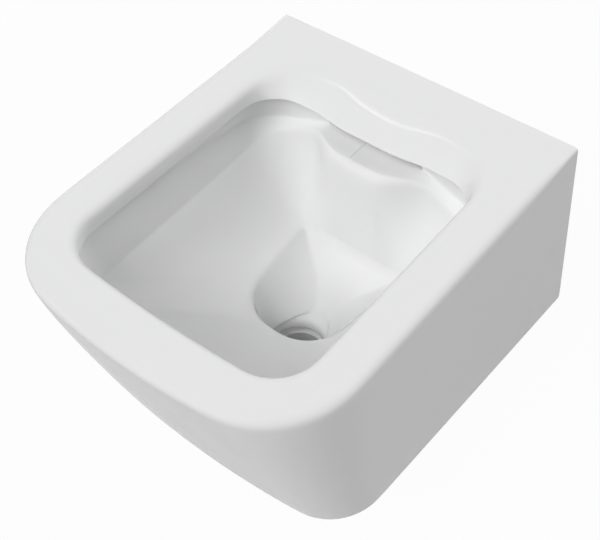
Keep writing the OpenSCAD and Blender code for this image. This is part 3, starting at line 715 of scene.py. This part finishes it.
def grown(name, tree, values):
    """A plain mesh from a tree: each input is set by its socket's identifier."""
    obj = new_object(name, bpy.data.meshes.new(name))
    modifier = obj.modifiers.new("grow", "NODES")
    modifier.node_group = tree
    for item in tree.interface.items_tree:
        if item.in_out == "INPUT":
            modifier[item.identifier] = values[item.name]
    return applied(obj)


print("steps round a ring:", TURN_STEPS)

# %% [markdown]
# ## Two trees
# The collar's tree carries a profile round a circle for the tube and the flange, sets one lip ring
# on each point of a row, and melts them all into one solid. The thread's tree carries a kite
# along a helix. The helix has its normals turned upright, or the ridge would twist on its way.


# %% Profiles and rings
def ring_part(tree, radius, profile):
    path = grow_node(tree, "GeometryNodeCurvePrimitiveCircle", {"Radius": radius}, Resolution=TURN_STEPS)
    return grow_node(tree, "GeometryNodeCurveToMesh", {"Curve": path, "Profile Curve": profile})


def rounded_profile(tree, width, height, radius):
    box = grow_node(tree, "GeometryNodeCurvePrimitiveQuadrilateral", {"Width": width, "Height": height})
    fillet = tree.nodes.new("GeometryNodeFilletCurve")
    fillet.mode = "POLY"
    fillet.inputs["Count"].default_value = FILLET_STEPS
    tree.links.new(radius, fillet.inputs["Radius"])
    tree.links.new(box, fillet.inputs["Curve"])
    return fillet.outputs[0]


def moved_up(tree, part, distance):
    shift = grow_node(tree, "ShaderNodeCombineXYZ", {"Z": distance})
    return grow_node(tree, "GeometryNodeTransform", {"Geometry": part, "Translation": shift})


print("steps of a rounded corner:", FILLET_STEPS)


# %% Collar tree
def collar_tree():
    """Rings of lips along a tube whose middle line is the Z axis."""
    tree, size, output = geometry_tree("lipped_collar", (
        ("Tube Radius", "Float"), ("Tube Wall", "Float"), ("Tube Length", "Float"),
        ("Flange Radius", "Float"), ("Flange Width", "Float"), ("Flange Thickness", "Float"),
        ("Flange Place", "Float"),
        ("Lip Size", "Float"), ("Lip Count", "Int"), ("Lip Start", "Float"), ("Lip Step", "Float"),
        ("Edge", "Float"), ("Material", "Material")))
    tube = ring_part(tree, size["Tube Radius"],
                     rounded_profile(tree, size["Tube Wall"], size["Tube Length"], size["Edge"]))
    flange = ring_part(tree, size["Flange Radius"],
                       rounded_profile(tree, size["Flange Width"], size["Flange Thickness"], size["Edge"]))
    lip_profile = grow_node(tree, "GeometryNodeCurvePrimitiveCircle", {"Radius": size["Lip Size"]},
                            Resolution=LIP_STEPS)
    step = grow_node(tree, "ShaderNodeCombineXYZ", {"Z": size["Lip Step"]})
    start = grow_node(tree, "ShaderNodeCombineXYZ", {"Z": size["Lip Start"]})
    rows = grow_node(tree, "GeometryNodeMeshLine",
                     {"Count": size["Lip Count"], "Start Location": start, "Offset": step})
    lips = grow_node(tree, "GeometryNodeInstanceOnPoints",
                     {"Points": rows, "Instance": ring_part(tree, size["Tube Radius"], lip_profile)})
    flange = moved_up(tree, flange, size["Flange Place"])
    finish_tree(tree, (tube, flange, lips), size["Material"], output[0])
    return tree


COLLAR_TREE = collar_tree()
print("nodes in the collar's tree:", len(COLLAR_TREE.nodes))


# %% Thread tree
def thread_tree():
    """A ridge that winds up the Z axis."""
    tree, size, output = geometry_tree("screw_thread", (
        ("Radius", "Float"), ("Turns", "Float"), ("Length", "Float"), ("Ridge Width", "Float"),
        ("Half Height", "Float"), ("Material", "Material")))
    helix = grow_node(tree, "GeometryNodeCurveSpiral", {
        "Start Radius": size["Radius"], "End Radius": size["Radius"], "Height": size["Length"],
        "Rotations": size["Turns"]}, Resolution=THREAD_STEPS)
    upright = tree.nodes.new("GeometryNodeSetCurveNormal")
    upright.mode = "Z_UP"
    tree.links.new(helix, upright.inputs["Curve"])
    ridge = tree.nodes.new("GeometryNodeCurvePrimitiveQuadrilateral")
    ridge.mode = "KITE"
    tree.links.new(size["Ridge Width"], ridge.inputs["Width"])
    for label in ("Bottom Height", "Top Height"):
        tree.links.new(size["Half Height"], ridge.inputs[label])
    thread = grow_node(tree, "GeometryNodeCurveToMesh",
                       {"Curve": upright.outputs[0], "Profile Curve": ridge.outputs[0]}, Fill_Caps=True)
    finish_tree(tree, (thread,), size["Material"], output[0])
    return tree


THREAD_TREE = thread_tree()
print("nodes in the thread's tree:", len(THREAD_TREE.nodes))

# %% [markdown]
# ## Finishes
# Each finish is a small tree of nodes on object coordinates, so that it stays put on the piece.
# An image wrapped round the piece would need an unwrapping and has only its own pixels. Noise in
# space needs neither. A small class keeps a material's nodes, so that a finish is a few lines.

# %% Node helpers
class Tree:
    """A material and short ways to add its nodes."""

    def __init__(self, name):
        self.material = bpy.data.materials.new(name)
        self.material.use_nodes = True
        self.nodes = self.material.node_tree.nodes
        self.links = self.material.node_tree.links
        self.shader = self.nodes["Principled BSDF"]
        self.place = self.add("ShaderNodeTexCoord").outputs["Object"]

    def add(self, kind, **settings):
        node = self.nodes.new(kind)
        for key, value in settings.items():
            setattr(node, key, value)
        return node

    def link(self, a, b):
        self.links.new(a, b)

    def noise(self, scale, detail=2.0, roughness=0.5):
        node = self.add("ShaderNodeTexNoise")
        self.link(self.place, node.inputs["Vector"])
        node.inputs["Scale"].default_value = scale
        node.inputs["Detail"].default_value = detail
        node.inputs["Roughness"].default_value = roughness
        return node.outputs["Fac"]

    def ranged(self, value, low, high, to_low, to_high):
        node = self.add("ShaderNodeMapRange")
        self.link(value, node.inputs["Value"])
        for key, number in zip(("From Min", "From Max", "To Min", "To Max"), (low, high, to_low, to_high)):
            node.inputs[key].default_value = number
        return node.outputs["Result"]

    def colours(self, value, low, high):
        node = self.add("ShaderNodeMix", data_type="RGBA")
        self.link(value, node.inputs[0])
        node.inputs[6].default_value = (*low, 1)
        node.inputs[7].default_value = (*high, 1)
        return node.outputs[2]

    def bump(self, height, distance, strength, normal=None):
        node = self.add("ShaderNodeBump")
        self.link(height, node.inputs["Height"])
        node.inputs["Distance"].default_value = distance
        node.inputs["Strength"].default_value = strength
        if normal is not None:
            self.link(normal, node.inputs["Normal"])
        return node.outputs["Normal"]

    def set(self, **values):
        for key, value in values.items():
            self.shader.inputs[key.replace("_", " ")].default_value = value


print("ways to add a node:", [name for name in vars(Tree) if not name.startswith("_")])

# %% [markdown]
# ## Glazed china
# White glaze is never one flat tone: it drifts a little with the thickness of the coat. One slow
# noise gives that drift and another the smears in its gloss. The colour and gloss of the bare
# body are mixed in only where a face looks at the wall and lies on it.

# %% Glaze and bare body
GLAZE_IOR, BARE_ROUGHNESS = 1.52, 0.75
WALL_BAND = -0.0025, -0.0005
WALL_FACING = 0.55, 0.8


def china():
    tree = Tree("glazed_china")
    position = tree.add("ShaderNodeSeparateXYZ")
    tree.link(tree.place, position.inputs[0])
    facing = tree.add("ShaderNodeSeparateXYZ")
    tree.link(tree.add("ShaderNodeNewGeometry").outputs["Normal"], facing.inputs[0])
    towards_wall = tree.ranged(facing.outputs["Y"], *WALL_FACING, 0, 1)
    near_wall = tree.ranged(position.outputs["Y"], *WALL_BAND, 0, 1)
    both = tree.add("ShaderNodeMath", operation="MULTIPLY")
    tree.link(towards_wall, both.inputs[0])
    tree.link(near_wall, both.inputs[1])
    at_wall = both.outputs[0]
    speckle = tree.noise(900, 2)
    tint = tree.noise(7, 3)
    glaze = tree.colours(tint, (0.785, 0.788, 0.790), (0.802, 0.803, 0.802))
    body = tree.colours(speckle, (0.60, 0.58, 0.54), (0.74, 0.72, 0.68))
    colour = tree.add("ShaderNodeMix", data_type="RGBA")
    tree.link(at_wall, colour.inputs[0])
    tree.link(glaze, colour.inputs[6])
    tree.link(body, colour.inputs[7])
    tree.link(colour.outputs[2], tree.shader.inputs["Base Color"])
    smudge = tree.ranged(tree.noise(18, 4), 0.3, 0.7, 0.045, 0.085)
    rough = tree.add("ShaderNodeMix", data_type="FLOAT")
    tree.link(at_wall, rough.inputs[0])
    tree.link(smudge, rough.inputs[2])
    rough.inputs[3].default_value = BARE_ROUGHNESS
    tree.link(rough.outputs[0], tree.shader.inputs["Roughness"])
    slow = tree.bump(tree.noise(13, 1), 0.0004, 0.2)
    peel = tree.bump(tree.noise(420, 1), 0.00002, 0.35, slow)
    tree.link(peel, tree.shader.inputs["Normal"])
    tree.set(IOR=GLAZE_IOR)
    return tree.material


pan.data.materials.clear()
pan.data.materials.append(china())
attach(pan, "root")
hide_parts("pan")
print("glazed:", pan.name, "with", pan.data.materials[0].name)

# %% [markdown]
# ## Plastics, rubber and metals
# Moulded plastic has a faint mottle, rubber a matt grain, and turned metal a very fine one. They
# differ only in two colours, a gloss, whether they are metal and how coarse the grain is, so one
# function with those numbers makes them all. The CAD pieces keep their meshes and get only this.


# %% Finishes of the fittings
def plain_finish(name, low, high, rough, metallic=0.0, scale=60, bump_scale=600, bump=0.00003):
    tree = Tree(name)
    tree.link(tree.colours(tree.noise(scale, 3), low, high), tree.shader.inputs["Base Color"])
    handled = tree.ranged(tree.noise(scale * 2, 3), 0.3, 0.7, rough * 0.8, rough * 1.25)
    tree.link(handled, tree.shader.inputs["Roughness"])
    tree.link(tree.bump(tree.noise(bump_scale, 2), bump, 0.6), tree.shader.inputs["Normal"])
    tree.set(Metallic=metallic)
    return tree.material


BLACK = (0.018, 0.018, 0.018), (0.03, 0.03, 0.03)
RUBBER_GRAIN, METAL_GRAIN = (1500, 0.00006), (2500, 0.00001)
finishes = {
    "flush_distributor": plain_finish("white_plastic", (0.77, 0.775, 0.775), (0.80, 0.80, 0.80), 0.2),
    "flow_regulator": plain_finish("blue_plastic", (0.36, 0.50, 0.62), (0.40, 0.55, 0.66), 0.42),
    "distributor_seal": plain_finish("black_rubber", *BLACK, 0.62, 0, 90, *RUBBER_GRAIN),
    "inlet_seal": plain_finish("black_rubber_collar", *BLACK, 0.62, 0, 90, *RUBBER_GRAIN),
    "fixing_sleeve": plain_finish("zinc_plated_steel", (0.52, 0.53, 0.54), (0.62, 0.63, 0.62), 0.3,
                                  1.0, 140, *METAL_GRAIN),
    "sleeve_liner": plain_finish("grey_plastic", (0.50, 0.51, 0.52), (0.55, 0.56, 0.57), 0.45),
    "screw_bush": plain_finish("turned_brass", (0.68, 0.49, 0.22), (0.76, 0.57, 0.28), 0.28,
                               1.0, 160, *METAL_GRAIN),
    "lock_screw": plain_finish("dark_steel", (0.06, 0.06, 0.065), (0.10, 0.10, 0.105), 0.38,
                               1.0, 160, *METAL_GRAIN),
    "wall_pad": plain_finish("grey_rubber", (0.10, 0.10, 0.10), (0.13, 0.13, 0.13), 0.7,
                             0, 90, *RUBBER_GRAIN),
    "access_plug": plain_finish("white_cap_plastic", (0.76, 0.765, 0.765), (0.79, 0.79, 0.79), 0.25),
}
for name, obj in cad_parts.items():
    kind = name.removesuffix("_left").removesuffix("_right")
    if kind in finishes:
        obj.data.materials.clear()
        obj.data.materials.append(finishes[kind])
print("finishes:", len(finishes) + 1)

# %% [markdown]
# ## The collar
# Its lips grip the flush pipe on the inside and the china on the outside, so the same round ring
# stands proud on both sides of the tube. It is grown round the Z axis and then turned to point
# into the wall. Its length and place come from the box of the CAD piece that it stands for.

# %% Collar in the flush inlet
COLLAR_R, COLLAR_WALL, COLLAR_LIP, COLLAR_ROWS, COLLAR_STEP = 25.0, 3.0, 2.35, 4, 5.0
FLANGE_OUT, FLANGE_T = 33.4, 2.0


def dress(piece, node):
    piece.data.shade_smooth()
    piece.data.set_sharp_from_angle(angle=math.radians(35))
    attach(piece, "root")
    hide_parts(node)
    report(piece)


collar_low, collar_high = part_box("inlet_seal")
collar_l = (collar_high.y - collar_low.y) / MM
collar = grown("flush_collar", COLLAR_TREE, {
    "Tube Radius": COLLAR_R * MM, "Tube Wall": COLLAR_WALL * MM, "Tube Length": collar_l * MM,
    "Flange Radius": (FLANGE_OUT + COLLAR_R) / 2 * MM, "Flange Width": (FLANGE_OUT - COLLAR_R) * MM,
    "Flange Thickness": FLANGE_T * MM, "Flange Place": (FLANGE_T - collar_l) / 2 * MM,
    "Lip Size": COLLAR_LIP * MM, "Lip Count": COLLAR_ROWS, "Lip Step": COLLAR_STEP * MM,
    "Lip Start": (collar_l / 2 - COLLAR_LIP - (COLLAR_ROWS - 1) * COLLAR_STEP) * MM,
    "Edge": 0.5 * MM, "Material": finishes["inlet_seal"]})
middle_y = (collar_low.y + collar_high.y) / 2
collar.data.transform(Matrix.Translation((0, middle_y, INLET_Z * MM)) @ Matrix.Rotation(math.pi / 2, 4, "X"))
dress(collar, "inlet_seal")

# %% [markdown]
# ## The lock screws
# These are M8 socket screws whose cones bear on the sleeves. A picture of a thread on a plain rod
# would vanish in a mesh file, so the ridge is real: a core is turned with its cone, the grown
# thread is melted onto it, and a six-sided socket is cut into its foot.

# %% Lock screws
CORE_R, THREAD_R, PITCH, CONE_L, CONE_R = 3.35, 3.95, 1.25, 2.4, 1.0
SOCKET_R, SOCKET_L, SOCKET_SIDES, RUN_OUT, CHAMFER, RIDGE_SHARE = 2.32, 4.8, 6, 0.9, 0.5, 0.42
for side, sign in (("left", -1), ("right", 1)):
    node = "lock_screw_" + side
    low, high = (v.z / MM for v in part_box(node))
    screw = turned_z(node + "_threaded", [(low, CORE_R - CHAMFER), (low + CHAMFER, CORE_R),
                                          (high - CONE_L, CORE_R), (high, CONE_R)],
                     sign * STUD_X, SCREW_Y, 48)
    socket = turned_z("socket", [(low - 1, SOCKET_R), (low + SOCKET_L, SOCKET_R)],
                      sign * STUD_X, SCREW_Y, SOCKET_SIDES)
    length = high - CONE_L - low - 2 * RUN_OUT
    ridge = grown("thread", THREAD_TREE, {
        "Radius": CORE_R * MM, "Turns": length / PITCH, "Length": length * MM,
        "Ridge Width": 2 * (THREAD_R - CORE_R) * MM, "Half Height": RIDGE_SHARE * PITCH * MM,
        "Material": finishes["lock_screw"]})
    ridge.data.transform(Matrix.Translation((sign * STUD_X * MM, -SCREW_Y * MM, (low + RUN_OUT) * MM)))
    screw.data.materials.append(finishes["lock_screw"])
    joined(joined(screw, [ridge], "UNION"), [socket], "DIFFERENCE")
    dress(screw, node)
print("turns of each thread:", round(length / PITCH, 1))

# %% [markdown]
# ## Studio
# The photograph is a cut-out on white, lit softly from above and from the front. The floor is
# where the real one would be, 400 mm under the rim. To the camera the world is plain white, and
# the floor nearly so. In reflections the floor shows less of that white, or the upright front
# would be washed out. The light itself is a dark sky with a few wide, soft glows in it, like large
# soft boxes: the main ones high in front, and one low behind that lifts the rim above the bowl.
# One thin, faint lamp draws a soft line along the top of the apron.

# %% Glows of the sky
RIM_ABOVE_FLOOR, FLOOR_SIZE, FLOOR_ROUGHNESS = 0.400, 6.0, 0.9
FLOOR_Z = RIM * MM - RIM_ABOVE_FLOOR
FLOOR_GREY, FLOOR_SEEN, FLOOR_MIRRORED = 0.52, 0.96, 0.3
Glow = namedtuple("Glow", "azimuth elevation sharpness strength")
GLOWS = (Glow(0, 52, 20, 6.6), Glow(-20, 38, 20, 3.0), Glow(180, 45, 4, 0.2), Glow(180, 10, 4, 2.5),
         Glow(100, 12, 4, 0.45))


def math_node(nodes, links, operation, a, b):
    """A Math node whose two inputs are sockets or numbers."""
    node = nodes.new("ShaderNodeMath")
    node.operation = operation
    for socket, value in zip(node.inputs, (a, b)):
        if isinstance(value, (int, float)):
            socket.default_value = value
        else:
            links.new(value, socket)
    return node.outputs[0]


def background_share(nodes, links, seen, mirrored):
    """How far a ray meets plain white: one share for the camera, one for reflections and glass."""
    path = nodes.new("ShaderNodeLightPath")
    glossy, through = path.outputs["Is Glossy Ray"], path.outputs["Is Transmission Ray"]
    bounced = math_node(nodes, links, "MAXIMUM", glossy, through)
    by_camera = math_node(nodes, links, "MULTIPLY", path.outputs["Is Camera Ray"], seen)
    by_bounce = math_node(nodes, links, "MULTIPLY", bounced, mirrored)
    return math_node(nodes, links, "MAXIMUM", by_camera, by_bounce)


print("glows in the sky:", len(GLOWS))


# %% Floor
def studio_floor():
    bm = bmesh.new()
    bmesh.ops.create_grid(bm, x_segments=1, y_segments=1, size=FLOOR_SIZE)
    mesh = bpy.data.meshes.new("studio_floor")
    bm.to_mesh(mesh)
    bm.free()
    mesh.transform(Matrix.Translation((0, 0, FLOOR_Z)))
    floor = new_object("studio_floor", mesh)
    tree = Tree("pale_floor")
    tree.set(Base_Color=(FLOOR_GREY, FLOOR_GREY, FLOOR_GREY, 1), Roughness=FLOOR_ROUGHNESS)
    glow = tree.add("ShaderNodeEmission")
    mixed = tree.add("ShaderNodeMixShader")
    tree.link(background_share(tree.nodes, tree.links, FLOOR_SEEN, FLOOR_MIRRORED), mixed.inputs[0])
    tree.link(tree.shader.outputs[0], mixed.inputs[1])
    tree.link(glow.outputs[0], mixed.inputs[2])
    tree.link(mixed.outputs[0], tree.nodes["Material Output"].inputs["Surface"])
    floor.data.materials.append(tree.material)


studio_floor()
print("floor at", round(FLOOR_Z, 3))


# %% World
def glow_strength(nodes, links, direction, glow):
    """Light of one glow: a power of the cosine of the angle to its middle."""
    az, el = math.radians(glow.azimuth), math.radians(glow.elevation)
    towards = nodes.new("ShaderNodeVectorMath")
    towards.operation = "DOT_PRODUCT"
    links.new(direction, towards.inputs[0])
    towards.inputs[1].default_value = (
        math.sin(az) * math.cos(el), -math.cos(az) * math.cos(el), math.sin(el))
    facing = math_node(nodes, links, "MAXIMUM", towards.outputs["Value"], 0.0)
    shape = math_node(nodes, links, "POWER", facing, float(glow.sharpness))
    return math_node(nodes, links, "MULTIPLY", shape, float(glow.strength))


def studio_world():
    world = bpy.data.worlds.new("studio")
    bpy.context.scene.world = world
    world.use_nodes = True
    nodes, links = world.node_tree.nodes, world.node_tree.links
    background = nodes["Background"]
    background.inputs["Color"].default_value = (1, 1, 1, 1)
    direction = nodes.new("ShaderNodeTexCoord").outputs["Generated"]
    total = None
    for glow in GLOWS:
        light = glow_strength(nodes, links, direction, glow)
        if total is not None:
            light = math_node(nodes, links, "ADD", light, total)
        total = light
    links.new(total, background.inputs["Strength"])
    seen = nodes.new("ShaderNodeBackground")
    seen.inputs["Color"].default_value = (1, 1, 1, 1)
    mixed = nodes.new("ShaderNodeMixShader")
    links.new(background_share(nodes, links, 1.0, 1.0), mixed.inputs[0])
    links.new(background.outputs[0], mixed.inputs[1])
    links.new(seen.outputs[0], mixed.inputs[2])
    links.new(mixed.outputs[0], nodes["World Output"].inputs["Surface"])


studio_world()
print("world nodes:", len(bpy.context.scene.world.node_tree.nodes))


# %% Lamp and view
def lamp(name, place, target, size, power):
    data = bpy.data.lights.new(name, "AREA")
    data.shape = "RECTANGLE"
    data.size, data.size_y = size
    data.energy = power
    obj = bpy.data.objects.new(name, data)
    obj.location = place
    direction = Vector(target) - Vector(place)
    obj.rotation_euler = direction.to_track_quat("-Z", "Y").to_euler()
    bpy.context.scene.collection.objects.link(obj)


lamp("strip", (-0.65, -0.22, 1.32), (0, -0.22, 0), (0.03, 0.34), 0.1)
scene = bpy.context.scene
scene.view_settings.view_transform = "Standard"
print("view:", scene.view_settings.view_transform)

# %% [markdown]
# ## The end
